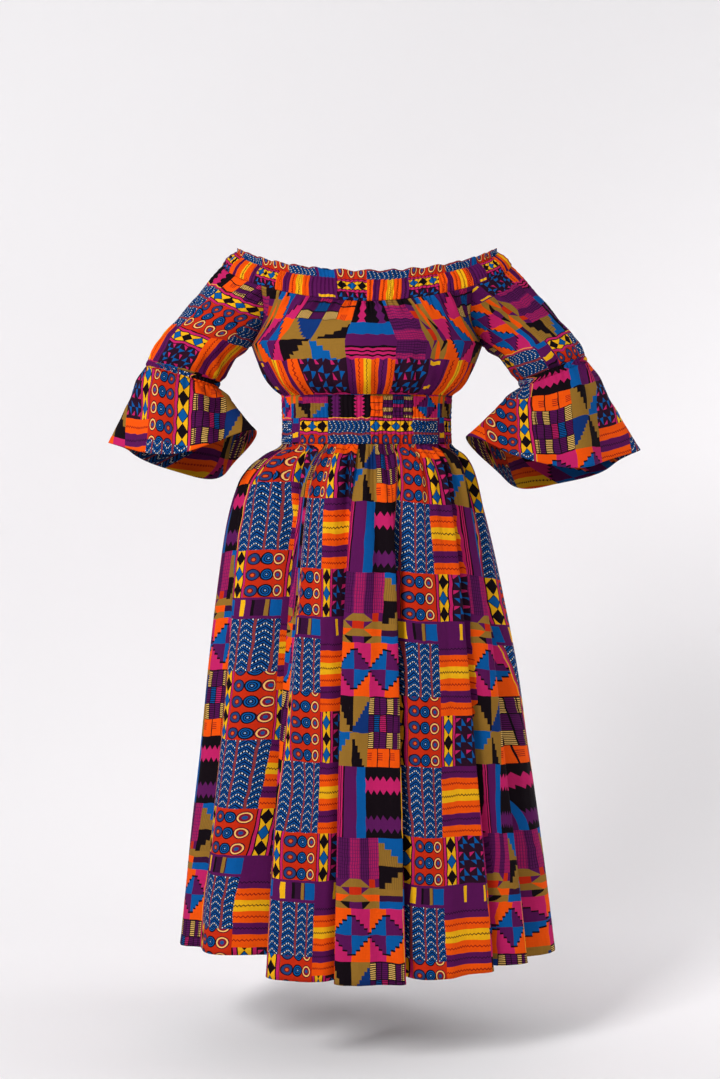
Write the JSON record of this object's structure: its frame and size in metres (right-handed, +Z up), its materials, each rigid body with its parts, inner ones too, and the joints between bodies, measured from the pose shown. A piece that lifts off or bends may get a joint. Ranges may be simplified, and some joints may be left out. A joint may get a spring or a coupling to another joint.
{
  "type": "off-the-shoulder maxi dress",
  "caption": "Off-the-shoulder maxi dress in wax print cotton with raglan sleeves, bell flounces, an elastic waist and a gathered skirt, in its worn shape.",
  "frame": {"origin": "middle of the neck opening, level with the elastic that holds the dress on the shoulders", "axes": "+Z up, the front faces -Y, +X to the right of a viewer in front of the dress"},
  "size_m": [1.0089, 0.546, 1.3381],
  "materials": {
    "skirt": "matte",
    "bodice": "matte",
    "sleeve": "matte",
    "flounce": "matte",
    "band": "matte"
  },
  "bodies": {
    "root": {"neck_band_front": "band", "neck_band_back": "band", "neck_band_left": "band", "neck_band_right": "band", "bodice_front": "bodice", "bodice_back": "bodice", "sleeve_left": "sleeve", "sleeve_right": "sleeve", "elbow_band_left": "band", "elbow_band_right": "band", "flounce_left": "flounce", "flounce_right": "flounce", "waistband_front": "band", "waistband_back": "band", "skirt_front": "skirt", "skirt_back": "skirt"}
  },
  "joints": []
}
